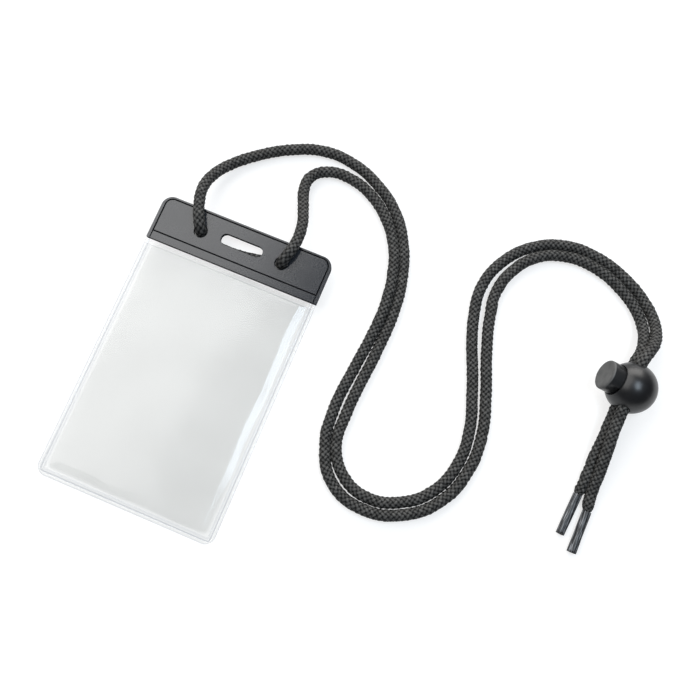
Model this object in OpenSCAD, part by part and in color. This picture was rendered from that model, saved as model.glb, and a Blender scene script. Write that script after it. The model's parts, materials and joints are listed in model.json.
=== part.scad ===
// Badge wallet on a neck cord: a clear welded pocket under a dark header,
// one braided cord that runs behind the header and out through two punched
// holes, a ball lock with a sprung button on both strands, and a wrapped
// end on each strand. It lies face up, its lower edge on the surface and
// its header propped on the cord that passes behind it.

/* [Holder] */
// Width of the holder
holder_w = 65; // [55:1:100]
// Height of the holder, header included
holder_h = 106; // [90:1:150]
// Height of the header band
header_h = 17; // [15:0.5:24]
// Corner radius at the header's top
top_corner_r = 4; // [2:0.5:6]
// Corner radius at the pocket's foot
foot_corner_r = 3.5; // [1:0.5:6]

/* [Sheets] */
// Thickness of a clear film
film_t = 0.45; // [0.3:0.05:0.8]
// Thickness of a header ply
ply_t = 0.7; // [0.4:0.05:1]
// Width of the pocket's welded rim
weld_w = 2.6; // [1.5:0.1:4]
// Room between the films for the card
card_gap = 0.7; // [0.3:0.1:1.5]
// Run of the front film's slope from rim to panel
slope_run = 1.6; // [1:0.1:3]
// Gap between the header's lower edge and the back film's free edge
mouth_gap = 2; // [1:0.5:6]
// Width of the header's pressed weld line
line_w = 0.5; // [0.4:0.1:1.2]
// Depth of the header's pressed weld line
line_t = 0.25; // [0.1:0.05:0.3]
// Weld line's distance from the header's side edges
line_inset = 1; // [0.6:0.1:3]
// Weld line's distance from the header's top edge
top_line_inset = 0.6; // [0.5:0.1:3]
// Lower weld line's distance from the header's lower edge
foot_line_inset = 2.7; // [2:0.1:5]
// Width of the line pressed into the pocket's welded rim
rim_line_w = 0.5; // [0.3:0.1:0.8]
// Depth of the rim's line
rim_line_t = 0.15; // [0.05:0.05:0.25]
// Distance of the rim's line from the pocket's edge
rim_line_inset = 1; // [0.6:0.1:1.2]

/* [Punched holes] */
// Diameter of a cord hole
cord_hole_d = 5; // [4.8:0.1:7]
// Distance between the cord holes
cord_hole_span = 31; // [24:0.5:44]
// Cord holes' distance from the top edge
cord_hole_drop = 8; // [6:0.5:10]
// Length of the strap slot
slot_l = 15.8; // [12:0.1:18]
// Height of the strap slot
slot_h = 4.2; // [3:0.1:5]
// Slot's distance from the top edge
slot_drop = 7.4; // [6:0.1:9]

/* [Cord] */
// Diameter of the braided cord
cord_d = 4; // [3.5:0.1:4.4]
// Room between a resting sheet and the cord
seat_gap = 0.1; // [0.05:0.05:0.3]
// Outer diameter of a wrapped end
tip_d = 3; // [2.6:0.1:3.6]
// Wall of a wrapped end
tip_wall = 0.25; // [0.15:0.05:0.4]
// Length of a wrapped end
tip_l = 14.5; // [10:0.5:20]

/* [Cord lock] */
// Diameter of the ball
ball_d = 17.4; // [16.6:0.1:24]
// Diameter of the button and its plunger
button_d = 10.4; // [10:0.1:12]
// Height of the button's face above the ball's centre
button_top = 11.2; // [10.5:0.1:14]
// Travel of the button
button_travel = 2.4; // [1:0.1:2.6]
// Room round the plunger in the ball's bore
bore_gap = 0.15; // [0.1:0.05:0.3]
// Room round a cord in the lock's windows
cord_gap = 0.15; // [0.1:0.05:0.3]
// Height of the cords above the ball's centre, towards the button
cord_rise = 1.1; // [0.8:0.1:1.6]
// Floor between the plunger's window and its inner end
plunger_floor = 1.5; // [1:0.1:2]
// Depth of the dish in the button's face
dish_t = 0.35; // [0.2:0.05:0.6]
// Radius of the button's rounded rim
rim_r = 0.6; // [0.4:0.1:1.2]
// Wire of the spring
wire_d = 0.45; // [0.3:0.05:0.6]
// Outer diameter of the spring
spring_d = 6; // [5:0.1:6.5]
// Depth of the spring's seat below the ball's centre
spring_seat = 7.2; // [6.5:0.1:7.6]
// Turns of the spring
spring_turns = 3.5; // [2:0.5:4]

/* [Hidden] */
$fn = 64;
// Overrun of every through cut
cut = 1;
// Steps of a rounded corner
corner_steps = 8;
// Sides of the cord's tube, sides of the spring's wire, rings in one of its turns
cord_sides = 10;
wire_sides = 8;
wire_steps = 16;

// The cord's route in millimetres, with the surface at z = 0. Each strand is
// named for the hole that it leaves, and runs from that hole to its tip.
left_run = [
    [-15.5, 44.9, 5.15], [-15.8, 45.4, 7.1], [-16.6, 46.9, 8.3],
    [-19.2, 52.4, 8.6], [-21.3, 60, 7.2], [-20.3, 67.5, 4.7],
    [-16.6, 74, 2.9], [-9.5, 81, 2.1], [0.5, 87.6, 2],
    [12, 91.8, 2], [24, 91.3, 2], [35.3, 87.3, 2],
    [45.3, 80, 2], [52.2, 70, 2], [56.4, 58, 2],
    [58.3, 45, 2], [58.2, 31.5, 2], [56.5, 5, 2],
    [58.2, -6, 2], [64.2, -14.9, 2], [74, -18.2, 2],
    [85, -15, 2], [93.5, -7.5, 2], [98, 3.5, 2],
    [97.6, 16, 2], [93.8, 29, 2], [85, 54.5, 2],
    [83.6, 66, 2], [87, 77.5, 2], [95.5, 87, 2], [106.5, 92, 2],
    [118.5, 92, 2], [130.4, 88, 2], [139.4, 82.4, 2],
    [143.7, 76.8, 3.4], [145, 71.2, 6.4], [144.7, 66.2, 9.6], [143.3, 62, 11.7]];
left_grip = [[142.1, 58, 12.2], [141.3, 33, 9.6]];
left_tail = [
    [141.9, 26, 7.9], [142.8, 19.5, 5.5], [143.3, 13, 3], [143.5, 8.8, 2]];
left_tip_line = [[143.5, 5.8, 1.5], [143, -8.7, 1.5]];
right_run = [
    [15.5, 44.9, 5.15], [15.7, 45.4, 7.1], [16.4, 46.9, 8.3],
    [17.6, 52.4, 8.6], [16.9, 60, 7.2], [14.1, 67.5, 4.8],
    [11.3, 74.2, 2.8], [11.4, 80.6, 2.1], [16.6, 84.9, 2],
    [24.5, 85.6, 2], [33.6, 82.4, 2], [42, 76, 2],
    [48.4, 67.4, 2], [52.4, 56.6, 2], [54.2, 44.6, 2],
    [54.1, 31.6, 2], [52.3, 5, 2],
    [53.9, -7.4, 2], [61.4, -18.2, 2], [73.6, -22.5, 2],
    [87.2, -18.8, 2], [97.4, -9.8, 2], [102.3, 3, 2],
    [102, 16.6, 2], [98.4, 29.6, 2], [93.6, 42.8, 2],
    [89.8, 55.4, 2], [88.4, 66, 2], [91.2, 75.4, 2],
    [98, 83.6, 2], [107.6, 87.6, 2], [118.4, 87.6, 2],
    [128.4, 83.8, 2], [136.2, 78.2, 2], [140.2, 72.6, 3.1], [141.8, 67, 5.8],
    [141.7, 62.2, 7.7]];
right_grip = [[140.7, 58, 8.3], [139.9, 33, 5.7]];
right_tail = [
    [139.6, 25.5, 4], [139.3, 18.5, 2.5], [139, 13, 1.8]];
right_tip_line = [[138.8, 10, 1.5], [137.5, -4.7, 1.5]];
bridge_route = [
    [-15.1, 44.9, 3.4], [-13.5, 44.6, 2.2], [-8, 43.4, 2], [0, 42.7, 2],
    [8, 43.4, 2], [13.5, 44.6, 2.2], [15.1, 44.9, 3.4]];

// Each strand's wrapped end runs from its neck, along its line, for its length
left_neck = left_tip_line[0];
left_tip = left_neck + tip_l * unit(left_tip_line[1] - left_neck);
right_neck = right_tip_line[0];
right_tip = right_neck + tip_l * unit(right_tip_line[1] - right_neck);

// The two strands and the whole cord, from the left strand's tip to the right's
left_strand = concat(left_run, left_grip, left_tail, [left_neck, left_tip]);
right_strand = concat(right_run, right_grip, right_tail, [right_neck, right_tip]);
cord_route = concat([for (i = [len(left_strand) - 1:-1:0]) left_strand[i]],
                    bridge_route, right_strand);
cord_end = len(cord_route) - 1;
left_hole = len(left_strand) - 1;
right_hole = left_hole + len(bridge_route) + 1;

// Sizes of the cord and its wrapped ends
cord_r = cord_d / 2;
tip_r = tip_d / 2;
core_r = tip_r - tip_wall - seat_gap;

// Heights of the sheets above the back film's lower face, in the holder's own
// frame: x across, y up from its foot, z towards its front
front_film_z = film_t;
front_ply_z = 2 * film_t;
back_ply_z = film_t - ply_t;
header_y = holder_h - header_h;
mouth_y = header_y - mouth_gap;
header_foot_r = 0.4;
// Room between the raised panel and the header's lower edge
panel_gap = 0.4;

// The holder leans on the cord behind its header, about its lower edge
prop_y = holder_h - cord_hole_drop - cord_r - seat_gap;
lie_tilt = asin((cord_d + seat_gap - back_ply_z) / prop_y);
low_y = -front_ply_z * sin(lie_tilt);
high_y = holder_h * cos(lie_tilt) - back_ply_z * sin(lie_tilt);

// The lock's place: it grips both strands a share of the way along their
// straight stretch, turns and tilts with that stretch, and leans with the line
// from one strand to the other
lock_share = 0.35;
grip_run = left_grip[1] - left_grip[0];
left_held = left_grip[0] + lock_share * grip_run;
right_held = right_grip[0] + lock_share * grip_run;
lock_turn = atan2(grip_run[0], -grip_run[1]);
lock_tilt = asin(-grip_run[2] / norm(grip_run));
lock_side = [cos(lock_turn), sin(lock_turn), 0];
lock_up = cross(lock_side, -unit(grip_run));
stack_run = (left_held - right_held) * lock_side;
stack_rise = (left_held - right_held) * lock_up;
lock_lean = atan2(stack_run, stack_rise);
strand_pitch = norm([stack_run, stack_rise]);
button_axis = sin(lock_lean) * lock_up - cos(lock_lean) * lock_side;
lock_place = (left_held + right_held) / 2 - cord_rise * button_axis;

// Sizes inside the lock, along the button's axis from the ball's centre
ball_r = ball_d / 2;
button_r = button_d / 2;
bore_r = button_r + bore_gap;
// Flat lip round the mouth of the ball's bore
lip_w = 0.35;
lip_z = sqrt(pow(ball_r, 2) - pow(bore_r + lip_w, 2));
window_h = cord_d + 2 * cord_gap;
window_w = strand_pitch + window_h;
window_z = cord_rise - window_h / 2;
plunger_z = window_z - plunger_floor;
// Room under the plunger at the end of its travel
stop_gap = 0.25;
bore_z = plunger_z - button_travel - stop_gap;
seat_r = spring_d / 2 + bore_gap;
plunger_chamfer = 0.4;
// Width of the button's flat ring between its rim and its dish
dish_ring = 0.5;
dish_steps = 6;
// Room at the spring's ends
spring_touch = 0.02;
// End radius of a slot or window as a share of its height, just under a half
end_share = 0.4975;

function unit(v) = v / norm(v);

// Quarter circle of radius r about [x, y], starting at angle a
function corner(x, y, r, a) =
    [for (i = [0:corner_steps])
        [x + r * cos(a + 90 * i / corner_steps), y + r * sin(a + 90 * i / corner_steps)]];

// Outline w wide from y0 to y1, its lower corners of radius r0, its upper of r1
function outline(w, y0, y1, r0, r1) =
    concat(corner(w / 2 - r1, y1 - r1, r1, 0), corner(r1 - w / 2, y1 - r1, r1, 90),
           corner(r0 - w / 2, y0 + r0, r0, 180), corner(w / 2 - r0, y0 + r0, r0, 270));

// Direction of the cord at station i of its route
function heading(i) =
    let (back = i == 0 ? 0 : i - 1, ahead = i == cord_end ? cord_end : i + 1)
    unit((i == 0 ? [0, 0, 0] : unit(cord_route[i] - cord_route[back]))
       + (i == cord_end ? [0, 0, 0] : unit(cord_route[ahead] - cord_route[i])));

// Sideways direction at each station, carried along the cord without twist
function carry(i, side) =
    i > cord_end ? [] :
    let (h = heading(i), next = unit(side - h * (side * h)))
    concat([next], carry(i + 1, next));
cord_side = carry(0, [1, 0, 0]);

// The cord narrows to its core inside the wrapped ends
function cord_radius(i) = i < 2 || i > cord_end - 2 ? core_r : cord_r;

// Ring of n points of radius r about p, in the plane of the directions u and v
function ring(p, u, v, r, n) =
    [for (k = [0:n - 1]) p + r * (cos(360 * k / n) * u + sin(360 * k / n) * v)];

function cord_ring(i) =
    ring(cord_route[i], cord_side[i], cross(heading(i), cord_side[i]),
         cord_radius(i), cord_sides);

// Closed tube through rings of n points each
module tube(rings, n) {
    count = len(rings);
    polyhedron(
        points = [for (loop = rings) each loop],
        faces = concat(
            [[for (k = [0:n - 1]) k]],
            [[for (k = [n - 1:-1:0]) (count - 1) * n + k]],
            [for (i = [0:count - 2], k = [0:n - 1])
                let (a = i * n + k, b = i * n + (k + 1) % n) each [[a, a + n, b], [b, a + n, b + n]]]),
        convexity = count);
}

// Puts a holder piece where it lies, leaning on the cord
module laid() {
    translate([0, -(low_y + high_y) / 2, 0]) rotate([lie_tilt, 0, 0]) children();
}

// The holes punched through every layer of the header
module punched() {
    for (side = [-1, 1])
        translate([side * cord_hole_span / 2, holder_h - cord_hole_drop, back_ply_z - cut])
            cylinder(d = cord_hole_d, h = 2 * ply_t + film_t + 2 * cut);
    translate([0, holder_h - slot_drop, back_ply_z - cut])
        linear_extrude(2 * ply_t + film_t + 2 * cut)
            polygon(outline(slot_l, -slot_h / 2, slot_h / 2, slot_h * end_share, slot_h * end_share));
}

// Pressed weld line of the header: a closed loop, and its two ends down to the foot
module weld_line() {
    line_low = header_y + foot_line_inset;
    loop_w = holder_w - 2 * line_inset;
    loop_y = holder_h - top_line_inset;
    loop_r = top_corner_r - top_line_inset;
    difference() {
        polygon(outline(loop_w, line_low, loop_y, line_w, loop_r));
        polygon(outline(loop_w - 2 * line_w, line_low + line_w, loop_y - line_w,
                        line_w / 2, loop_r - line_w / 2));
    }
    for (side = [-1, 1])
        translate([side * (loop_w - line_w) / 2 - line_w / 4, header_y - cut])
            square([line_w / 2, foot_line_inset + cut + line_w / 2]);
}

// One header ply from z up, with its weld line pressed in at line_z
module header_ply(z, line_z) {
    difference() {
        translate([0, 0, z]) linear_extrude(ply_t)
            polygon(outline(holder_w, header_y, holder_h, header_foot_r, top_corner_r));
        punched();
        translate([0, 0, line_z]) linear_extrude(line_t + cut) weld_line();
    }
}

module header_front() {
    color("dimgray") laid() header_ply(front_ply_z, front_ply_z + ply_t - line_t);
}

module header_back() {
    color("dimgray") laid() header_ply(back_ply_z, back_ply_z - cut);
}

// Body with sloped sides: inset from the holder's outline by the weld and the
// slope, from z0 up to z1
module pillow(z0, z1, run) {
    x0 = holder_w / 2 - weld_w;
    y0 = weld_w;
    y1 = header_y - panel_gap;
    intersection() {
        translate([0, y1, 0]) rotate([90, 0, 0]) linear_extrude(y1 - y0)
            polygon([[-x0, z0], [x0, z0], [x0 - run, z1], [run - x0, z1]]);
        translate([-x0, 0, 0]) rotate([90, 0, 90]) linear_extrude(2 * x0)
            polygon([[y0, z0], [y1, z0], [y1 - run, z1], [y0 + run, z1]]);
    }
}

// Line pressed into the pocket's welded rim, from under the header down one side,
// round the foot and up the other
module rim_line() {
    line_top = header_y + foot_line_inset;
    line_r = foot_corner_r - rim_line_inset;
    difference() {
        polygon(outline(holder_w - 2 * rim_line_inset, rim_line_inset, line_top,
                        line_r, header_foot_r));
        polygon(outline(holder_w - 2 * (rim_line_inset + rim_line_w),
                        rim_line_inset + rim_line_w, line_top + cut,
                        line_r - rim_line_w, header_foot_r));
    }
}

// Clear front sheet, welded to the back sheet along three sides and running up
// between the header's plies; its middle stands off to leave room for the card
module pocket_front() {
    color("gainsboro", 0.5) laid() difference() {
        union() {
            translate([0, 0, front_film_z]) linear_extrude(film_t)
                polygon(outline(holder_w, 0, holder_h, foot_corner_r, top_corner_r));
            pillow(front_film_z, front_film_z + film_t + card_gap, slope_run);
        }
        translate([0, 0, -film_t]) pillow(front_film_z, front_film_z + film_t + card_gap, slope_run);
        translate([0, 0, front_ply_z - rim_line_t]) linear_extrude(rim_line_t + cut) rim_line();
        punched();
    }
}

// Clear back sheet, its upper edge free below the header, where the card goes in
module pocket_back() {
    color("gainsboro", 0.5) laid() linear_extrude(film_t)
        polygon(outline(holder_w, 0, mouth_y, foot_corner_r, header_foot_r));
}

// The cord between two stations of its route
module cord_run(from, to) {
    color("#2b2a29") tube([for (i = [from:to]) cord_ring(i)], cord_sides);
}

module cord_bridge() cord_run(left_hole, right_hole);
module cord_left() cord_run(0, left_hole);
module cord_right() cord_run(right_hole, cord_end);

// Wrapped end of a strand: a film sleeve from the neck to the tip
module aglet(neck, tip) {
    run = tip - neck;
    color("#303134") translate(neck)
        rotate([0, acos(run[2] / norm(run)), atan2(run[1], run[0])])
            difference() {
                cylinder(r = tip_r, h = norm(run));
                translate([0, 0, -cut]) cylinder(r = tip_r - tip_wall, h = norm(run) + 2 * cut);
            }
}

module aglet_left() aglet(left_neck, left_tip);
module aglet_right() aglet(right_neck, right_tip);

// Puts a piece of the lock in place: z along the button's axis, y along the
// cord towards the holder, x from the right strand to the left one
module locked() {
    translate(lock_place) rotate([lock_tilt, 0, lock_turn]) rotate([0, lock_lean - 90, 0])
        children();
}

// The window for both strands through the lock, h high from z up
module window(z, h) {
    translate([0, ball_r + cut, z]) rotate([90, 0, 0]) linear_extrude(ball_d + 2 * cut)
        polygon(outline(window_w, 0, h, window_h * end_share, window_h * end_share));
}

// Ball of the lock, with the plunger's bore, the spring's seat and the window
module lock_ball() {
    color("#26272a") locked() difference() {
        sphere(r = ball_r);
        translate([-ball_r, -ball_r, lip_z]) cube([ball_d, ball_d, ball_r]);
        translate([0, 0, bore_z]) cylinder(r = bore_r, h = ball_d);
        translate([0, 0, -spring_seat]) cylinder(r = seat_r, h = ball_d);
        window(window_z, window_h);
    }
}

// Button and plunger in one, with a dished face and a window as long as the
// cord and the travel need
module lock_button() {
    dish_r = button_r - rim_r - dish_ring;
    color("#55565a") locked() difference() {
        rotate_extrude() polygon(concat(
            [[0, plunger_z], [button_r - plunger_chamfer, plunger_z],
             [button_r, plunger_z + plunger_chamfer]],
            corner(button_r - rim_r, button_top - rim_r, rim_r, 0),
            [for (i = [0:dish_steps])
                let (share = 1 - i / dish_steps)
                [dish_r * share, button_top - dish_t * (1 - pow(share, 2))]]));
        window(window_z, window_h + button_travel);
    }
}

// Spring between the ball's seat and the plunger
module lock_spring() {
    coil_r = spring_d / 2 - wire_d / 2;
    z0 = wire_d / 2 + spring_touch - spring_seat;
    z1 = plunger_z - wire_d / 2 - spring_touch;
    count = ceil(spring_turns * wire_steps);
    color("silver") locked() tube(
        [for (i = [0:count])
            let (a = 360 * spring_turns * i / count)
            ring([coil_r * cos(a), coil_r * sin(a), z0 + (z1 - z0) * i / count],
                 [cos(a), sin(a), 0], [0, 0, 1], wire_d / 2, wire_sides)],
        wire_sides);
}

header_front();
header_back();
pocket_front();
pocket_back();
cord_bridge();
cord_left();
cord_right();
aglet_left();
aglet_right();
lock_ball();
lock_button();
lock_spring();
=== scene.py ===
import json
from math import atan2, ceil, cos, hypot, pi, radians, sin, sqrt, tan

import bmesh
import bpy
import numpy as np
from mathutils import Matrix, Vector, noise


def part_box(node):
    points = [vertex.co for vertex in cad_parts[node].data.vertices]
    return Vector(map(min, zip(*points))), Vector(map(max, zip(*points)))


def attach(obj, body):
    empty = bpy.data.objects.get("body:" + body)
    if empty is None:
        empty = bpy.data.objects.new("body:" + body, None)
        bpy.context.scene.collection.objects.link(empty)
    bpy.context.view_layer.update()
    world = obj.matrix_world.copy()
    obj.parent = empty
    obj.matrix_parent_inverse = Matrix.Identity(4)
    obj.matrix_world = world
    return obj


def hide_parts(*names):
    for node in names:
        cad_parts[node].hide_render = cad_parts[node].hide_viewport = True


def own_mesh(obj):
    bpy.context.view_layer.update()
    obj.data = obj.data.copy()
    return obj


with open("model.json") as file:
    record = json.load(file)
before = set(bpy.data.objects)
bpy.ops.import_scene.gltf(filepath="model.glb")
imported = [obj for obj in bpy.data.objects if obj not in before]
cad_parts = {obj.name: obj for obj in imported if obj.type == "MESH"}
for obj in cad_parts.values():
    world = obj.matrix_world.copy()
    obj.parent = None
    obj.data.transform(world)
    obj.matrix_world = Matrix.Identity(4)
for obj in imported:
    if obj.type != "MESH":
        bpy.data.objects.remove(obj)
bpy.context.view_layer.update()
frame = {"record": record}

# The view: the photograph looks down on the whole set from above the middle of the
# cord. The holder's header points up and a little to the left of the picture.
CAMERA_AT = Vector((0.07135, -0.03716, 0.28917))
LOOKS_AT = Vector((0.04916, 0.02677, 0))
PICTURE_TURN = radians(22.56)
LENS_MM = 43.71
NEAREST_SEEN = 0.01

camera = bpy.data.objects.new("camera", bpy.data.cameras.new("camera"))
camera.data.lens = LENS_MM
camera.data.clip_start = NEAREST_SEEN
backward = (CAMERA_AT - LOOKS_AT).normalized()
rightward = Vector((-sin(PICTURE_TURN), cos(PICTURE_TURN), 0)).cross(backward).normalized()
facing = Matrix((rightward, backward.cross(rightward), backward)).transposed()
camera.matrix_world = Matrix.Translation(CAMERA_AT) @ facing.to_4x4()
bpy.context.collection.objects.link(camera)
bpy.context.scene.camera = camera

# The pocket: two films of clear soft vinyl, welded round three sides by a heated die
# that leaves a pressed line. The front film stands off the back one to leave room for
# the card and runs up between the plies of the header; the back one ends below it.
HOLDER_H = 0.106
HEADER_H = 0.017
FILM_T = 0.00045
WELD_W = 0.0026
CARD_GAP = 0.0007
PANEL_GAP = 0.0004
MOUTH_GAP = 0.002
FOOT_R = 0.0035
HEAD_R = 0.004
MOUTH_R = 0.0004
CORNER_STEPS = 12
SLOPE_RUN = 0.0034
SLOPE_FOLD = 0.35
SLOPE_CORNER_R = 0.0025
SLOPE_DRIFT = 0.6
DRIFT_SLICE = 0.0034
DRIFT_PER_M = 70
CROWN = 0.0003
RIPPLE = 0.00006
RIPPLE_PER_M = 45
EDGE_ROUND = 0.0001
WELD_LINE_AT = (0.001, 0.0011, 0.0014, 0.0015)
WELD_LINE_T = 0.00015
WELD_BEAD_AT = (WELD_LINE_AT[3], 0.002, 0.0023, WELD_W)
WELD_BEAD_T = 0.00005
EDGE_LINES = (0, EDGE_ROUND, 0.0006, *WELD_LINE_AT, 0.002, 0.0023, 0.0026, 0.0029, 0.0032, 0.0035,
              0.0038, 0.0041, 0.0045, 0.0049, 0.0054, 0.006, 0.0068, 0.0078, 0.009)
MOUTH_LINES = (0, EDGE_ROUND, 0.0006, 0.002)
SLOPE_LINES = (0.00001, 0.0003, 0.0006, 0.0009, 0.0012, 0.0015, 0.0019, 0.0023, 0.0028, 0.0034,
               0.0042, 0.0052)
TONGUE_SHARES = (0.3, 0.6)
FILM_STEP = 0.0015
FUSED_GAP = 0.00002
FUSED_FADE = 4
LINE_SHADE_SHARE = 0.45
FILM_HOLE_D = 0.0058
HOLE_SPAN = 0.031
HOLE_DROP = 0.008
HOLE_SIDES = 64
SLOT_L = 0.0158
SLOT_H = 0.0042
SLOT_DROP = 0.0074
FILM_SLOT_ROOM = 0.0004
ROUND_END = 0.498
PUNCH_L = 0.004
CLEAR_TINT = (0.94, 0.942, 0.939, 1)
# The painted shade that darkens the film along its pressed line and cut edge.
PAINTED_EDGE_SHADE = (0.62, 0.64, 0.68, 1)
FILM_GREY = (0.72, 0.73, 0.75, 1)
FILM_SHADE = (0.985, 1.0)
FILM_HAZE = 0.035
FILM_ROUGHNESS = 0.15
FILM_IOR = 1.43
FILM_GRAIN_PER_M = 900
FILM_GRAIN_T = 0.000002
FILM_GRAIN_SHARE = 0.05
CLOUD_SPAN = (0.3, 0.7)
WHITE = (1, 1, 1, 1)

back_rest = next(m for m in frame["record"]["mounts"] if m["name"] == "back_rest")
lie_tilt = atan2(back_rest["axis"][1], -back_rest["axis"][2])
foot_y = back_rest["pos_m"][1] - back_rest["pos_m"][2] / tan(lie_tilt)
laid = Matrix.Translation((0, foot_y, 0)) @ Matrix.Rotation(lie_tilt, 4, "X")
holder_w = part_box("pocket_back")[1].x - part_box("pocket_back")[0].x
header_y = HOLDER_H - HEADER_H
panel_end = header_y - PANEL_GAP
mouth_y = header_y - MOUTH_GAP


def ease(share):
    """A soft step from 0 to 1."""
    share = min(max(share, 0), 1)
    return share * share * (3 - 2 * share)


def grid_lines(low, high, low_lines, high_lines):
    """Places of a film's grid lines: set ones at both edges, and even ones between."""
    first, last = low + low_lines[-1], high - high_lines[-1]
    count = ceil((last - first) / FILM_STEP)
    middle = [first + (last - first) * i / count for i in range(1, count)]
    return [low + d for d in low_lines] + middle + [high - d for d in reversed(high_lines)]


def rounded_place(x, y, high, low_r, high_r):
    """Draws a point of a square corner in, so that the film's corner is round."""
    r, centre, way = (low_r, low_r, -1) if y < high / 2 else (high_r, high - high_r, 1)
    across = (abs(x) - holder_w / 2 + r) / r
    along = (y - centre) * way / r
    if across > 0 and along > 0:
        x = (holder_w / 2 - r + r * across * sqrt(1 - along ** 2 / 2)) * (1 if x > 0 else -1)
        y = centre + way * r * along * sqrt(1 - across ** 2 / 2)
    return x, y


def rise(x, y):
    """How far the front film stands off the back one: it slopes up inside the weld, over
    a run that drifts along the edge, and is a little crowned and rippled between."""
    side, end = holder_w / 2 - abs(x), min(y, panel_end + WELD_W - y)
    corner = WELD_W + SLOPE_CORNER_R
    inset = min(side, end)
    if side < corner and end < corner:
        inset = corner - hypot(corner - side, corner - end)
    drift = 1 + SLOPE_DRIFT * noise.noise(Vector((x, y, DRIFT_SLICE)) * DRIFT_PER_M)
    share = min(max((inset - WELD_W) / (SLOPE_RUN * drift), 0), 1)
    lifted = share + (ease(share) - share) * SLOPE_FOLD
    middle = (1 - (2 * x / holder_w) ** 2) * max(sin(pi * min(y / panel_end, 1)), 0)
    wave = noise.noise(Vector((x, y, 0)) * RIPPLE_PER_M)
    return lifted * (CARD_GAP + CROWN * middle + RIPPLE * wave)


def pressed(x, y, high):
    """Height of a film's outer face at its edge and weld line, over its flat part."""
    side = min(holder_w / 2 - abs(x), y)
    if y > high - EDGE_ROUND:
        return -EDGE_ROUND
    line = np.interp(side, WELD_LINE_AT, (0, 1, 1, 0))
    bead = np.interp(side, WELD_BEAD_AT, (0, 1, 1, 0))
    edge = max(1 - side / EDGE_ROUND, 0)
    return WELD_BEAD_T * bead - WELD_LINE_T * line - EDGE_ROUND * edge


def only_verts(geom):
    """The vertices among what an operator gives back."""
    return [part for part in geom if isinstance(part, bmesh.types.BMVert)]


def film_mesh(high, high_lines, low_r, high_r, lower, upper):
    """A closed film over a grid. Its lower and upper face each give a height, and 1 for
    the face that is fused to the other film. The vertices say how much painted shade the film
    takes at its pressed line and cut edge, and where it is fused."""
    xs = grid_lines(-holder_w / 2, holder_w / 2, EDGE_LINES, EDGE_LINES)
    ys = grid_lines(0, high, EDGE_LINES, high_lines)
    bm = bmesh.new()
    edge_shade = bm.verts.layers.float.new("edge_shade")
    fused = bm.verts.layers.float.new("fused")
    under = bmesh.ops.create_grid(bm, x_segments=len(xs) - 1, y_segments=len(ys) - 1, size=1)
    over = bmesh.ops.extrude_face_region(bm, geom=bm.faces[:], use_keep_orig=True)
    for verts, (height, fuses) in ((under["verts"], lower), (only_verts(over["geom"]), upper)):
        for vert in verts:
            x = xs[round((vert.co.x + 1) / 2 * (len(xs) - 1))]
            y = ys[round((vert.co.y + 1) / 2 * (len(ys) - 1))]
            edge = min(holder_w / 2 - abs(x), y, high - y)
            line = abs(pressed(x, y, high)) / WELD_LINE_T
            # Painted shade: the pressed line takes part of it, the cut edge all of it.
            vert[edge_shade] = max(min(line, 1) * LINE_SHADE_SHARE, 1 if edge < EDGE_ROUND / 2 else 0)
            vert[fused] = fuses * max(1 - rise(x, y) / CARD_GAP * FUSED_FADE, 0)
            vert.co = (*rounded_place(x, y, high, low_r, high_r), height(x, y))
    bmesh.ops.recalc_face_normals(bm, faces=bm.faces[:])
    return bm


def shown(name, bm, material, place):
    """The object of a finished bmesh, smooth, with its place in its mesh."""
    bm.transform(place)
    mesh = bpy.data.meshes.new(name)
    bm.to_mesh(mesh)
    bm.free()
    made = bpy.data.objects.new(name, mesh)
    bpy.context.collection.objects.link(made)
    mesh.materials.append(material)
    for polygon in mesh.polygons:
        polygon.use_smooth = True
    return made


def rounded_face(bm, width, low, high, low_r, high_r):
    """A flat upright rectangle with rounded corners, made by bevelling its corners."""
    corners = [(-width / 2, low), (width / 2, low), (width / 2, high), (-width / 2, high)]
    verts = [bm.verts.new((x, y, 0)) for x, y in corners]
    bm.faces.new(verts)
    for pair, radius in ((verts[:2], low_r), (verts[2:], high_r)):
        if radius:
            bmesh.ops.bevel(bm, geom=pair, offset=radius, offset_type="OFFSET", profile=0.5,
                            segments=CORNER_STEPS, affect="VERTICES", material=-1)


def cut_through(target, bm, reach, place):
    """Cuts the flat faces of bm through target for good. They are drawn out to the reach
    on both sides first and brought to their place."""
    bmesh.ops.translate(bm, verts=bm.verts[:], vec=(0, 0, -reach))
    drawn = bmesh.ops.extrude_face_region(bm, geom=bm.faces[:], use_keep_orig=True)["geom"]
    bmesh.ops.translate(bm, verts=only_verts(drawn), vec=(0, 0, 2 * reach))
    bmesh.ops.recalc_face_normals(bm, faces=bm.faces[:])
    bm.transform(place)
    mesh = bpy.data.meshes.new("cutter")
    bm.to_mesh(mesh)
    bm.free()
    cutter = bpy.data.objects.new("cutter", mesh)
    bpy.context.collection.objects.link(cutter)
    cut = target.modifiers.new("cut", "BOOLEAN")
    cut.object = cutter
    cut.operation = "DIFFERENCE"
    cut.solver = "EXACT"
    shape = target.evaluated_get(bpy.context.evaluated_depsgraph_get())
    uncut = target.data
    target.data = bpy.data.meshes.new_from_object(shape)
    target.modifiers.remove(cut)
    bpy.data.objects.remove(cutter)
    bpy.data.meshes.remove(mesh)
    bpy.data.meshes.remove(uncut)
    target.data.name = target.name


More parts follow.
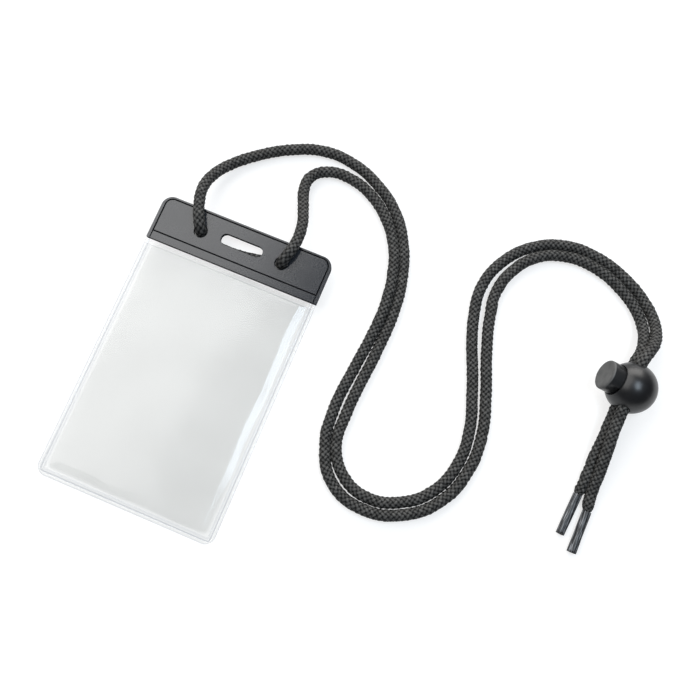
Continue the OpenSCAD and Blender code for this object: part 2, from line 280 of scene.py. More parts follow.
def punch(target, hole_d, slot_room):
    """Cuts the two cord holes and the strap slot through one layer of the header. The
    slot is wider by its room all round."""
    bm = bmesh.new()
    slot_y = HOLDER_H - SLOT_DROP
    slot_h = SLOT_H + 2 * slot_room
    rounded_face(bm, SLOT_L + 2 * slot_room, slot_y - slot_h / 2, slot_y + slot_h / 2,
                 slot_h * ROUND_END, slot_h * ROUND_END)
    for side in (-1, 1):
        centre = Matrix.Translation((side * HOLE_SPAN / 2, HOLDER_H - HOLE_DROP, 0))
        bmesh.ops.create_circle(bm, cap_ends=True, segments=HOLE_SIDES, radius=hole_d / 2,
                                matrix=centre)
    cut_through(target, bm, PUNCH_L, laid)


def node_tools(tree):
    """A function that adds a node to a tree, and one that feeds a node its inputs, which
    are given by name. An input that is another node's socket is linked."""
    def feed(made, inputs):
        for key, value in inputs.items():
            if isinstance(value, bpy.types.NodeSocket):
                tree.links.new(value, made.inputs[key])
            else:
                made.inputs[key].default_value = value
        return made

    def add(kind, inputs, **settings):
        made = tree.nodes.new("ShaderNode" + kind)
        for key, value in settings.items():
            setattr(made, key, value)
        return feed(made, inputs)

    return add, feed


def new_finish(name):
    """A new material, its main shader, and the tools for its nodes."""
    material = bpy.data.materials.new(name)
    material.use_nodes = True
    add, feed = node_tools(material.node_tree)
    return material, material.node_tree.nodes["Principled BSDF"], add, feed


def object_place(add):
    """Where a point is on the object, in metres."""
    return add("TexCoord", {}).outputs["Object"]


def marked(add, layer):
    """What the mesh says of a point in one of its layers."""
    return add("Attribute", {}, attribute_name=layer).outputs["Fac"]


def speckle(add, place, scale, detail):
    """A noise that repeats about scale times over each unit of place."""
    return add("TexNoise", {"Vector": place, "Scale": scale, "Detail": detail}).outputs["Fac"]


def spread(add, value, onto, span=(0, 1), way="LINEAR"):
    """A value stretched from its span onto another one, and held at both ends."""
    return add("MapRange", {"Value": value, "From Min": span[0], "From Max": span[1],
                            "To Min": onto[0], "To Max": onto[1]},
               interpolation_type=way).outputs[0]


def worked(add, operation, first, second):
    """Two values put together by an operation."""
    return add("Math", {0: first, 1: second}, operation=operation).outputs[0]


def tinted(add, share, none, full, way="MIX"):
    """One colour where the share is none, another where it is full."""
    return add("MixRGB", {"Fac": share, "Color1": none, "Color2": full}, blend_type=way).outputs[0]


def embossed(add, height, depth, share):
    """A skin raised by a height of a depth in metres, by a share of it."""
    return add("Bump", {"Height": height, "Distance": depth, "Strength": share}).outputs[0]


def clear_vinyl():
    """Clear film: what it lets through is tinted, and painted shade darkens it along its cut
    and pressed edges, standing in for the light the film bends away there. Its outer skin mirrors
    a little. Fused faces have no skin between them."""
    material, skin, add, feed = new_finish("clear_vinyl")
    place = object_place(add)
    fused = marked(add, "fused")
    bump = embossed(add, speckle(add, place, FILM_GRAIN_PER_M, 2), FILM_GRAIN_T, FILM_GRAIN_SHARE)
    tint_and_edge_shade = tinted(add, marked(add, "edge_shade"), CLEAR_TINT, PAINTED_EDGE_SHADE)
    shade = spread(add, speckle(add, place, RIPPLE_PER_M, 3), FILM_SHADE, CLOUD_SPAN)
    cloudy = tinted(add, 1, tint_and_edge_shade, shade, "MULTIPLY")
    window = add("BsdfTransparent", {"Color": tinted(add, fused, cloudy, WHITE)})
    inner = add("NewGeometry", {}).outputs["Backfacing"]
    outer = worked(add, "SUBTRACT", 1, worked(add, "MAXIMUM", fused, inner))
    gloss = add("Fresnel", {"IOR": FILM_IOR, "Normal": bump})
    mirrored = worked(add, "MULTIPLY", gloss.outputs[0], outer)
    hazy = worked(add, "MULTIPLY", FILM_HAZE, outer)
    feed(skin, {"Base Color": FILM_GREY, "Roughness": FILM_ROUGHNESS, "IOR": FILM_IOR,
                "Normal": bump})
    mirror = add("BsdfGlossy", {"Color": WHITE, "Roughness": FILM_ROUGHNESS, "Normal": bump})
    hazed = add("MixShader", {0: hazy, 1: window.outputs[0], 2: skin.outputs[0]})
    film = add("MixShader", {0: mirrored, 1: hazed.outputs[0], 2: mirror.outputs[0]})
    feed(material.node_tree.nodes["Material Output"], {"Surface": film.outputs[0]})
    return material


vinyl = clear_vinyl()
tongue = HOLDER_H - panel_end
front_lines = [0, EDGE_ROUND]
front_lines += [tongue * share for share in TONGUE_SHARES]
front_lines += [tongue + (d - SLOPE_LINES[0]) for d in SLOPE_LINES]
front_film = shown(
    "film_front",
    film_mesh(HOLDER_H, front_lines, FOOT_R, HEAD_R,
              (lambda x, y: FILM_T + FUSED_GAP + rise(x, y), 1),
              (lambda x, y: 2 * FILM_T + rise(x, y) + pressed(x, y, HOLDER_H), 0)),
    vinyl, laid)
punch(front_film, FILM_HOLE_D, FILM_SLOT_ROOM)
back_film = shown(
    "film_back",
    film_mesh(mouth_y, MOUTH_LINES, FOOT_R, MOUTH_R,
              (lambda x, y: -pressed(x, y, mouth_y), 0),
              (lambda x, y: FILM_T, 1)),
    vinyl, laid)
for film, node in ((front_film, "pocket_front"), (back_film, "pocket_back")):
    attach(film, "holder")
    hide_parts(node)

# The header: two plies of dark grained vinyl, one on each side of the front film,
# welded round their edge and across above the pocket by a pressed line. Two cord
# holes and a strap slot are punched through; the back ply's holes draw in on the cord.
PLY_T = 0.0007
PLY_BEVEL = 0.00018
BEVEL_STEPS = 3
LINE_W = 0.0005
LINE_T = 0.0004
LINE_INSET = 0.001
TOP_LINE_INSET = 0.0006
FOOT_LINE_INSET = 0.0027
END_LINE_W = 0.00035
END_LINE_STOP = 0.0002
CORD_HOLE_D = 0.005
TIGHT_HOLE_D = 0.0039
UPRIGHT = 0.5
VINYL_DARK = (0.012, 0.0145, 0.020, 1)
VINYL_WORN = (0.034, 0.037, 0.043, 1)
# Painted shade for the pressed line and the cut walls.
VINYL_GROOVE_SHADE = (0.012, 0.012, 0.013, 1)
VINYL_SHEEN = 0.78
VINYL_ROUGHNESS = (0.15, 0.25)
VINYL_GRAIN_PER_M = 2600
VINYL_GRAIN_T = 0.00003
VINYL_GRAIN_SHARE = 0.7
VINYL_CLOUD_PER_M = 120


def grained_vinyl():
    """Dark vinyl with a fine even grain and a cloudy colour. In the pressed line and on its
    cut faces it is matte and painted near black, as painted shade in the groove and on the walls."""
    material, skin, add, feed = new_finish("grained_vinyl")
    place = object_place(add)
    grain = speckle(add, place, VINYL_GRAIN_PER_M, 3)
    lighter_share = worked(add, "MULTIPLY", grain, speckle(add, place, VINYL_CLOUD_PER_M, 4))
    feed(skin, {"Base Color": tinted(add, lighter_share, VINYL_DARK, VINYL_WORN),
                "Roughness": spread(add, grain, VINYL_ROUGHNESS),
                "Specular IOR Level": VINYL_SHEEN,
                "Normal": embossed(add, grain, VINYL_GRAIN_T, VINYL_GRAIN_SHARE)})
    # Painted shade: the pressed line and the cut walls turn a matte near black.
    painted_shade_share = worked(add, "MAXIMUM", marked(add, "pressed"), marked(add, "cut"))
    matte = add("BsdfDiffuse", {"Color": VINYL_GROOVE_SHADE})
    ply = add("MixShader", {0: painted_shade_share, 1: skin.outputs[0], 2: matte.outputs[0]})
    feed(material.node_tree.nodes["Material Output"], {"Surface": ply.outputs[0]})
    return material


def foot_line(bm, rim):
    """Cuts the rim's foot band for the two short pressed lines at its ends, which stop
    just above the ply's foot, and gives their faces."""
    bands = [min(rim, key=lambda face: face.calc_center_median().y)]
    end_x = holder_w / 2 - LINE_INSET - LINE_W / 2
    cuts = [((0, header_y + END_LINE_STOP, 0), (0, 1, 0))]
    cuts += [((side * end_x + way * END_LINE_W / 2, 0, 0), (1, 0, 0))
             for side in (-1, 1) for way in (-1, 1)]
    for place, along in cuts:
        geom = bands + list({e for f in bands for e in f.edges})
        geom += list({v for f in bands for v in f.verts})
        cut = bmesh.ops.bisect_plane(bm, geom=geom, plane_co=place, plane_no=along)["geom"]
        bands = [part for part in cut if isinstance(part, bmesh.types.BMFace)]
    return [f for f in bands
            if abs(abs(f.calc_center_median().x) - end_x) < END_LINE_W / 4
            and f.calc_center_median().y > header_y + END_LINE_STOP]


def ply_mesh(top, bottom):
    """One ply: its outline is inset to the pressed weld line, the line is sunk, and the
    rim is drawn down to the ply's other face, which stays flat."""
    bm = bmesh.new()
    pressed_in = bm.verts.layers.float.new("pressed")
    rounded_face(bm, holder_w, header_y, HOLDER_H, 0, HEAD_R)
    field = bm.faces[:][0]
    rim = bmesh.ops.inset_region(bm, faces=[field], thickness=LINE_INSET, use_boundary=True,
                                 use_even_offset=True)["faces"]
    low = [v for v in field.verts if v.co.y < header_y + 2 * LINE_INSET]
    high = [v for v in field.verts if v not in low]
    bmesh.ops.translate(bm, verts=low, vec=(0, FOOT_LINE_INSET - LINE_INSET, 0))
    bmesh.ops.translate(bm, verts=high, vec=(0, LINE_INSET - TOP_LINE_INSET, 0))
    line = bmesh.ops.inset_region(bm, faces=[field], thickness=LINE_W, use_boundary=True,
                                  use_even_offset=True)["faces"]
    line += foot_line(bm, rim)
    sunk = only_verts(bmesh.ops.extrude_face_region(bm, geom=line)["geom"])
    bmesh.ops.delete(bm, geom=[f for f in line if f.is_valid], context="FACES")
    bmesh.ops.translate(bm, verts=sunk, vec=(0, 0, -LINE_T))
    # The sunk line is marked; the vinyl's finish paints it in shade.
    for vert in sunk:
        vert[pressed_in] = 1
    outline = [e for e in bm.edges if e.is_boundary]
    for vert in only_verts(bmesh.ops.extrude_edge_only(bm, edges=outline)["geom"]):
        vert.co.z = -PLY_T
    bmesh.ops.holes_fill(bm, edges=[e for e in bm.edges if e.is_boundary], sides=0)
    if top < bottom:
        bmesh.ops.scale(bm, vec=(1, 1, -1), verts=bm.verts[:])
    bmesh.ops.translate(bm, verts=bm.verts[:], vec=(0, 0, top))
    bmesh.ops.recalc_face_normals(bm, faces=bm.faces[:])
    return bm


def mark_cut_faces(target):
    """Marks the faces that stand upright, where the die cut through the vinyl, for the vinyl's
    finish to paint in shade.
    """
    cut = target.data.attributes.new("cut", "FLOAT", "CORNER")
    through = laid.to_3x3() @ Vector((0, 0, 1))
    for face in target.data.polygons:
        if abs(face.normal @ through) < UPRIGHT:
            for corner in face.loop_indices:
                cut.data[corner].value = 1


def soften(target, width):
    """Rounds a piece's sharp edges by a small bevel."""
    bevel = target.modifiers.new("soft_edge", "BEVEL")
    bevel.width = width
    bevel.segments = BEVEL_STEPS
    bevel.limit_method = "ANGLE"
    bevel.harden_normals = True
    return bevel


grained = grained_vinyl()
plies = {"header_front": (2 * FILM_T + PLY_T, 2 * FILM_T, CORD_HOLE_D),
         "header_back": (FILM_T - PLY_T, FILM_T, TIGHT_HOLE_D)}
for node, (top, bottom, hole_d) in plies.items():
    ply = shown(node.replace("header", "ply"), ply_mesh(top, bottom), grained, laid)
    punch(ply, hole_d, 0)
    mark_cut_faces(ply)
    soften(ply, PLY_BEVEL)
    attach(ply, "holder")
    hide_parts(node)

# The cord: one round braided cord of black polyester, 4 mm thick and just under a
# metre long. Twelve yarns each pass over one and under one. It runs behind the
# header, out through both holes, along two strands and into its wrapped ends.
LEFT_RUN = [
    (-0.0155, 0.0449, 0.00515), (-0.0158, 0.0454, 0.0071), (-0.0166, 0.0469, 0.0083),
    (-0.0192, 0.0524, 0.0086), (-0.0213, 0.06, 0.0072), (-0.0203, 0.0675, 0.0047),
    (-0.0166, 0.074, 0.0029), (-0.0095, 0.081, 0.0021), (0.0005, 0.0876, 0.002),
    (0.012, 0.0918, 0.002), (0.024, 0.0913, 0.002), (0.0351, 0.087, 0.002),
    (0.0449, 0.0797, 0.002), (0.0518, 0.0699, 0.002), (0.0563, 0.058, 0.002),
    (0.0583, 0.045, 0.002), (0.0582, 0.0315, 0.002), (0.0567, 0.005, 0.002),
    (0.0577, -0.0061, 0.002), (0.0643, -0.0149, 0.002), (0.0742, -0.0182, 0.002),
    (0.0851, -0.0152, 0.002), (0.0936, -0.0077, 0.002), (0.0979, 0.0035, 0.002),
    (0.0976, 0.016, 0.002), (0.0937, 0.029, 0.002), (0.0847, 0.0545, 0.002),
    (0.0835, 0.0661, 0.002), (0.0872, 0.0773, 0.002), (0.0956, 0.0868, 0.002),
    (0.1065, 0.0917, 0.002), (0.1184, 0.0917, 0.002), (0.1302, 0.0878, 0.002),
    (0.1391, 0.0821, 0.002), (0.1434, 0.0767, 0.0034), (0.145, 0.0712, 0.0064),
    (0.1447, 0.0662, 0.0096), (0.1433, 0.062, 0.0117),
]
LEFT_GRIP = [(0.1421, 0.058, 0.0122), (0.1413, 0.033, 0.0096)]
LEFT_TAIL = [
    (0.1418, 0.026, 0.0079), (0.1423, 0.0195, 0.0055), (0.1426, 0.013, 0.003),
    (0.143, 0.0088, 0.002),
]
LEFT_TIP_LINE = [(0.1435, 0.0058, 0.0015), (0.143, -0.0087, 0.0015)]
RIGHT_RUN = [
    (0.0155, 0.0449, 0.00515), (0.0157, 0.0454, 0.0071), (0.0164, 0.0469, 0.0083),
    (0.0176, 0.0524, 0.0086), (0.0169, 0.06, 0.0072), (0.0141, 0.0675, 0.0048),
    (0.0113, 0.0742, 0.0028), (0.0114, 0.0806, 0.0021), (0.0166, 0.0849, 0.002),
    (0.0245, 0.0856, 0.002), (0.0339, 0.0827, 0.002), (0.0424, 0.0764, 0.002),
    (0.0489, 0.0677, 0.0025), (0.0529, 0.0568, 0.0031), (0.0547, 0.0446, 0.0033),
    (0.0543, 0.0325, 0.0026), (0.0533, 0.0225, 0.002), (0.0522, 0.005, 0.002),
    (0.0541, -0.0071, 0.002), (0.0613, -0.0182, 0.002), (0.0737, -0.0223, 0.002),
    (0.0872, -0.0188, 0.002), (0.0972, -0.0097, 0.002), (0.102, 0.003, 0.002),
    (0.102, 0.0166, 0.002), (0.0985, 0.0296, 0.002), (0.0938, 0.0428, 0.002),
    (0.0902, 0.0555, 0.002), (0.0889, 0.0659, 0.002), (0.0915, 0.0752, 0.002),
    (0.0981, 0.0836, 0.002), (0.1076, 0.0878, 0.002), (0.1185, 0.0878, 0.002),
    (0.1287, 0.0841, 0.002), (0.1367, 0.0786, 0.002), (0.1408, 0.0728, 0.0031),
    (0.142, 0.067, 0.0058), (0.1417, 0.0622, 0.0077),
]
RIGHT_GRIP = [(0.1407, 0.058, 0.0083), (0.1399, 0.033, 0.0057)]
RIGHT_TAIL = [(0.1396, 0.0255, 0.004), (0.1395, 0.0185, 0.0025), (0.1393, 0.013, 0.0019)]
RIGHT_TIP_LINE = [(0.1388, 0.01, 0.0015), (0.1375, -0.0047, 0.0015)]
BRIDGE_ROUTE = [
    (-0.0151, 0.0449, 0.0034), (-0.0135, 0.0445, 0.0022), (-0.008, 0.0429, 0.002),
    (0, 0.043, 0.002), (0.008, 0.0442, 0.002), (0.0135, 0.0448, 0.0022),
    (0.0151, 0.0449, 0.0034),
]
CORD_D = 0.004
TIP_L = 0.0145
GRIP_SHARES = (0, 0.1, 0.5, 0.9, 1)
LINE_STEPS = 24
CREST_R = 0.00218
NECK_R = 0.00165
NECK_RUN = 0.0018
CORE_R = 0.00115
CORE_RUN = 0.0004
YARNS_EACH_WAY = 6
LAY_LENGTH = 0.011
BRAID_DEPTH = 0.00085
STITCH_L = 0.94
STITCH_ACROSS = 2.4
STITCH_ALONG = 2.2
STITCH_FALL = 0.6
SLACK = 0.13
SLACK_STEPS = (0.618, 0.382)
RING_SIDES = 60
RING_STEP = 0.0003
SEAM_REACH = 0.000015
# Painted shade in the pits, the yarn's own black, and its crests' wear and painted highlight.
YARN_PAINTED_SHADE = (0.003, 0.003, 0.003, 1)
YARN_DARK = (0.008, 0.0079, 0.0075, 1)
YARN_WEAR_AND_HIGHLIGHT = (0.19, 0.186, 0.178, 1)
YARN_SHEEN = 0.22
YARN_ROUGHNESS = (0.5, 0.75)
YARN_SIDE = (0.02, 0.3)
CREST_SPAN = (0.5, 1)
FIBRES = (7, 1, 1)
FIBRE_T = 0.00007
FIBRE_SHARE = 0.9


def along_grip(grip):
    """Points down the straight stretch in the lock, so that no curve bows it."""
    start, end = Vector(grip[0]), Vector(grip[1])
    return [tuple(start.lerp(end, share)) for share in GRIP_SHARES]


def tip_line(line):
    """The neck and the tip of a wrapped end."""
    neck, aim = Vector(line[0]), Vector(line[1])
    return [tuple(neck), tuple(neck + TIP_L * (aim - neck).normalized())]


def smooth_line(stops):
    """The points of a soft curve through all stops, LINE_STEPS for each stretch."""
    curve = bpy.data.curves.new("line", "CURVE")
    curve.dimensions = "3D"
    curve.resolution_u = LINE_STEPS
    spline = curve.splines.new("BEZIER")
    spline.bezier_points.add(len(stops) - 1)
    for knot, at in zip(spline.bezier_points, stops):
        knot.co = at
        knot.handle_left_type = "AUTO"
        knot.handle_right_type = "AUTO"
    drawn = bpy.data.objects.new("line", curve)
    bpy.context.collection.objects.link(drawn)
    shape = drawn.evaluated_get(bpy.context.evaluated_depsgraph_get())
    mesh = bpy.data.meshes.new_from_object(shape)
    line = np.array([v.co for v in mesh.vertices])
    bpy.data.objects.remove(drawn)
    bpy.data.curves.remove(curve)
    bpy.data.meshes.remove(mesh)
    return line


def stitch_height(across, along):
    """Height of one yarn's stitch, rounded across and dipping under at both ends."""
    round_side = np.sqrt(np.clip(1 - np.abs(across) ** STITCH_ACROSS, 0, 1))
    dip = np.clip(1 - np.abs(along / STITCH_L) ** STITCH_ALONG, 0, 1)
    return round_side * dip ** STITCH_FALL


def braided_height(p, q):
    """Height from 0 to 1 of the braid's face, where p and q count the yarns of each lay,
    and whether the right-hand lay is on top. Each yarn passes over one and under one,
    and each stitch lies lower by its own slack, which doesn't repeat round the cord."""
    i, j = np.floor(p), np.floor(q)
    uneven = (i * SLACK_STEPS[0] + j * SLACK_STEPS[1]) % 1 + (i * 7 % 5 + j * 3 % 7) / 10
    slack = SLACK * uneven
    right = stitch_height(2 * (p - i) - 1, (q + i + 0.5) % 2 - 1)
    left = stitch_height(2 * (q - j) - 1, (p + j + 1.5) % 2 - 1)
    return np.maximum(right, left) * (1 - slack), right > left


def braided_yarn():
    """Black polyester yarn: fine filaments along each yarn. Its crests are painted lighter,
    partly as wear and partly as a painted highlight, and its sides and the pits between yarns are
    painted near black as painted shade."""
    material, skin, add, feed = new_finish("braided_yarn")
    lay = add("UVMap", {}, uv_map="braid").outputs["UV"]
    drawn = add("Mapping", {"Vector": lay, "Scale": FIBRES}).outputs[0]
    fibre = speckle(add, drawn, 1, 3)
    across = add("SeparateXYZ", {0: lay}).outputs["X"]
    side = add("Math", {0: across, 1: 0.5}, operation="PINGPONG").outputs[0]
    # Painted shade at each yarn's sides and in the pits, painted highlight and wear on the crests.
    ridge = spread(add, side, (0, 1), YARN_SIDE, "SMOOTHSTEP")
    top = spread(add, marked(add, "crest"), (0, 1), CREST_SPAN, "SMOOTHSTEP")
    lit = worked(add, "MULTIPLY", ridge, top)
    dark = tinted(add, lit, YARN_PAINTED_SHADE, YARN_DARK)
    colour = tinted(add, worked(add, "MULTIPLY", lit, fibre), dark, YARN_WEAR_AND_HIGHLIGHT)
    high = worked(add, "ADD", ridge, fibre)
    feed(skin, {"Base Color": colour, "Roughness": spread(add, fibre, YARN_ROUGHNESS),
                "Normal": embossed(add, high, FIBRE_T, FIBRE_SHARE),
                "Specular IOR Level": YARN_SHEEN})
    return material


left_end, right_end = tip_line(LEFT_TIP_LINE), tip_line(RIGHT_TIP_LINE)
left_strand = LEFT_RUN + along_grip(LEFT_GRIP) + LEFT_TAIL + left_end
right_strand = RIGHT_RUN + along_grip(RIGHT_GRIP) + RIGHT_TAIL + right_end
cord_line = smooth_line(left_strand[::-1] + BRIDGE_ROUTE + right_strand)
cord_reach = np.append(0, np.cumsum(np.linalg.norm(np.diff(cord_line, axis=0), axis=1)))
left_hole = cord_reach[(len(left_strand) - 1) * LINE_STEPS]
right_hole = cord_reach[(len(left_strand) + len(BRIDGE_ROUTE)) * LINE_STEPS]

ring_count = round(cord_reach[-1] / RING_STEP)
ring_at = np.linspace(0, cord_reach[-1], ring_count + 1)
ring_centre = np.stack([np.interp(ring_at, cord_reach, cord_line[:, k]) for k in range(3)], 1)
ring_heading = np.gradient(ring_centre, axis=0)
ring_heading /= np.linalg.norm(ring_heading, axis=1)[:, None]
ring_side = np.zeros_like(ring_centre)
carried = np.array((1.0, 0.0, 0.0))
for ring, heading in enumerate(ring_heading):
    carried = carried - heading * (carried @ heading)
    carried /= np.linalg.norm(carried)
    ring_side[ring] = carried
ring_up = np.cross(ring_heading, ring_side)
from_tip = np.minimum(ring_at, cord_reach[-1] - ring_at)
ring_r = np.interp(from_tip, (TIP_L, TIP_L + CORE_RUN, TIP_L + NECK_RUN),
                   (CORE_R, NECK_R, CREST_R))


def braided_piece(name, first, last, material):
    """The braided tube from ring first to ring last: a grid is rolled round the line and
    raised by the braid's height. Its seam is merged where both sides meet, and the gaps
    that unlike slack leaves there are filled, as both ends are."""
    bm = bmesh.new()
    bmesh.ops.create_grid(bm, x_segments=RING_SIDES, y_segments=last - first, size=1)
    flat = np.array([v.co for v in bm.verts])
    turn = np.rint((flat[:, 0] + 1) / 2 * RING_SIDES)
    ring = (np.rint((flat[:, 1] + 1) / 2 * (last - first)) + first).astype(int)
    around, along = turn / RING_SIDES, ring_at[ring] / LAY_LENGTH
    p, q = YARNS_EACH_WAY * (around - along), YARNS_EACH_WAY * (around + along)
    height, _ = braided_height(p, q)
    radius = ring_r[ring] - BRAID_DEPTH * (1 - height)
    out = (np.cos(2 * pi * around)[:, None] * ring_side[ring]
           + np.sin(2 * pi * around)[:, None] * ring_up[ring])
    place = ring_centre[ring] + radius[:, None] * out
    crest = bm.verts.layers.float.new("crest")
    lay = bm.loops.layers.uv.new("braid")
    for vert, at, share in zip(bm.verts, place, height):
        vert.co = at
        vert[crest] = share
    bm.verts.index_update()
    half = 0.5 / RING_SIDES * YARNS_EACH_WAY
    for face in bm.faces:
        corner = min(v.index for v in face.verts)
        _, right_lay = braided_height(p[corner], q[corner] + half)
        for loop in face.loops:
            at = loop.vert.index
            loop[lay].uv = (p[at], q[at]) if right_lay else (q[at], p[at])
    seam = [v for v, t in zip(bm.verts, turn) if t in (0, RING_SIDES)]
    bmesh.ops.remove_doubles(bm, verts=seam, dist=SEAM_REACH)
    bmesh.ops.holes_fill(bm, edges=[e for e in bm.edges if e.is_boundary], sides=0)
    bmesh.ops.recalc_face_normals(bm, faces=bm.faces[:])
    return shown(name, bm, material, Matrix.Identity(4))


yarn = braided_yarn()
at_left, at_right = (int(np.searchsorted(ring_at, reach)) for reach in (left_hole, right_hole))
cord_left = braided_piece("braid_left", 0, at_left, yarn)
cord_bridge = braided_piece("braid_bridge", at_left, at_right, yarn)
cord_right = braided_piece("braid_right", at_right, ring_count, yarn)
for strand, node in ((cord_left, "cord_left"), (cord_bridge, "cord_bridge"),
                     (cord_right, "cord_right")):
    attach(strand, "holder")
    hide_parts(node)

# The cord lock: a ball of smooth black plastic, moulded hollow with a wide bore for the
# button, a seat for its spring and a window on both sides for the two strands. It
# grips both strands a third of the way down their straight stretch.
LOCK_SHARE = 0.35
CORD_GAP = 0.0002
CORD_RISE = 0.0011
BALL_D = 0.0174
BALL_EDGE = 0.0002
BUTTON_D = 0.0104
BUTTON_TRAVEL = 0.0024
BORE_GAP = 0.00015
LIP_W = 0.00035
STOP_GAP = 0.00025
PLUNGER_FLOOR = 0.0015
SPRING_D = 0.006
SPRING_SEAT = 0.0072
SPIN_STEPS = 128
ARC_STEPS = 40
SAME_POINT = 0.0000015
BALL_BLACK = (0.006, 0.0062, 0.007, 1)
BALL_SCUFF = (0.014, 0.014, 0.015, 1)
BALL_ROUGHNESS = (0.3, 0.38)
BALL_GRAIN_PER_M = 1500
BALL_GRAIN_T = 0.000004
MOULD_GRAIN_SHARE = 0.5
GRAINS_PER_CLOUD = 8

left_start, right_start = Vector(LEFT_GRIP[0]), Vector(RIGHT_GRIP[0])
grip_run = Vector(LEFT_GRIP[1]) - left_start
left_held = left_start + LOCK_SHARE * grip_run
right_held = right_start + LOCK_SHARE * grip_run
lock_along = -grip_run.normalized()
stack = left_held - right_held
stack -= lock_along * stack.dot(lock_along)
strand_pitch = stack.length
lock_across = stack.normalized()
button_axis = lock_across.cross(lock_along)
lock_place = (left_held + right_held) / 2 - CORD_RISE * button_axis
lock_turned = Matrix((lock_across, lock_along, button_axis)).transposed().to_4x4()
locked = Matrix.Translation(lock_place) @ lock_turned

ball_r, bore_r = BALL_D / 2, BUTTON_D / 2 + BORE_GAP
window_h = CORD_D + 2 * CORD_GAP
window_w = strand_pitch + window_h
window_z = CORD_RISE - window_h / 2
plunger_z = window_z - PLUNGER_FLOOR
bore_z = plunger_z - BUTTON_TRAVEL - STOP_GAP
seat_r = SPRING_D / 2 + BORE_GAP
lip_r = bore_r + LIP_W
lip_angle = atan2(sqrt(ball_r ** 2 - lip_r ** 2), lip_r)
lip_z = ball_r * sin(lip_angle)


def arc(x, y, r, start, end, steps):
    """Points from one angle to another round x, y."""
    return [(x + r * cos(start + (end - start) * i / steps),
             y + r * sin(start + (end - start) * i / steps)) for i in range(steps + 1)]


def spun(profile):
    """A closed solid turned from a profile of radius and height."""
    bm = bmesh.new()
    verts = [bm.verts.new((r, 0, z)) for r, z in profile]
    edges = [bm.edges.new(pair) for pair in zip(verts, verts[1:])]
    bmesh.ops.spin(bm, geom=verts + edges, cent=(0, 0, 0), axis=(0, 0, 1), dvec=(0, 0, 0),
                   angle=2 * pi, steps=SPIN_STEPS, use_merge=True)
    bmesh.ops.remove_doubles(bm, verts=bm.verts[:], dist=SAME_POINT)
    bmesh.ops.recalc_face_normals(bm, faces=bm.faces[:])
    return bm


def cut_window(target, z, height):
    """Cuts the window for both strands through a piece of the lock, from z up."""
    bm = bmesh.new()
    rounded_face(bm, window_w, z, z + height, window_h * ROUND_END, window_h * ROUND_END)
    cut_through(target, bm, BALL_D, locked @ Matrix.Rotation(pi / 2, 4, "X"))


def moulded(name, dark, scuffed, roughness, grain_per_m, grain_t, metallic=0):
    """Moulded plastic or drawn wire: a fine texture, a cloudy gloss and faint scuffs."""
    material, skin, add, feed = new_finish(name)
    place = object_place(add)
    grain = speckle(add, place, grain_per_m, 3)
    cloud = speckle(add, place, grain_per_m / GRAINS_PER_CLOUD, 5)
    feed(skin, {"Base Color": tinted(add, cloud, dark, scuffed), "Metallic": metallic,
                "Roughness": spread(add, cloud, roughness, CLOUD_SPAN),
                "Normal": embossed(add, grain, grain_t, MOULD_GRAIN_SHARE)})
    return material


ball_profile = [(0, -SPRING_SEAT), (seat_r, -SPRING_SEAT), (seat_r, bore_z), (bore_r, bore_z),
                (bore_r, lip_z), *arc(0, 0, ball_r, lip_angle, -pi / 2, ARC_STEPS)]
ball_gloss = moulded("ball_gloss", BALL_BLACK, BALL_SCUFF, BALL_ROUGHNESS, BALL_GRAIN_PER_M,
                     BALL_GRAIN_T)
ball = shown("lock_ball_shell", spun(ball_profile), ball_gloss, locked)
cut_window(ball, window_z, window_h)
soften(ball, BALL_EDGE).use_clamp_overlap = False
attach(ball, "cord_lock")
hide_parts("lock_ball")

# The button and its plunger, one moulding of matte black plastic with a dished face and
# a rounded rim. The plunger's own window pulls both strands against the ball's window.
BUTTON_TOP = 0.0112
PLUNGER_CHAMFER = 0.0004
RIM_R = 0.0006
RIM_STEPS = 13
DISH_RING = 0.0005
DISH_T = 0.00035
DISH_STEPS = 10
FACE_GREY_FADE = 2
BUTTON_DARK = (0.016, 0.0163, 0.017, 1)
BUTTON_GREY = (0.105, 0.105, 0.103, 1)
BUTTON_ROUGHNESS = (0.36, 0.6)
BUTTON_GRAIN_PER_M = 2600
BUTTON_GRAIN_T = 0.00001
FACE_GREY_SHARE = (0.45, 1)
FACE_GREY_SPAN = (0.2, 0.7)

button_r = BUTTON_D / 2
dish_r = button_r - RIM_R - DISH_RING
dish_sphere_r = (dish_r ** 2 + DISH_T ** 2) / (2 * DISH_T)
dish_angle = atan2(dish_r, dish_sphere_r - DISH_T)


def button_plastic():
    """Black plastic: smoother and darker on the side that slides, rougher and a cloudy lighter
    grey on its face and rim.
    """
    material, skin, add, feed = new_finish("button_matte")
    place = object_place(add)
    lighter_share = marked(add, "lighter_share")
    grain = speckle(add, place, BUTTON_GRAIN_PER_M, 3)
    cloud = speckle(add, place, BUTTON_GRAIN_PER_M / GRAINS_PER_CLOUD, 5)
    # Lighter grey on the face and rim than on the side.
    face_grey = worked(add, "MULTIPLY", spread(add, cloud, FACE_GREY_SHARE, FACE_GREY_SPAN), lighter_share)
    feed(skin, {"Base Color": tinted(add, face_grey, BUTTON_DARK, BUTTON_GREY),
                "Roughness": spread(add, lighter_share, BUTTON_ROUGHNESS),
                "Normal": embossed(add, grain, BUTTON_GRAIN_T, MOULD_GRAIN_SHARE)})
    return material


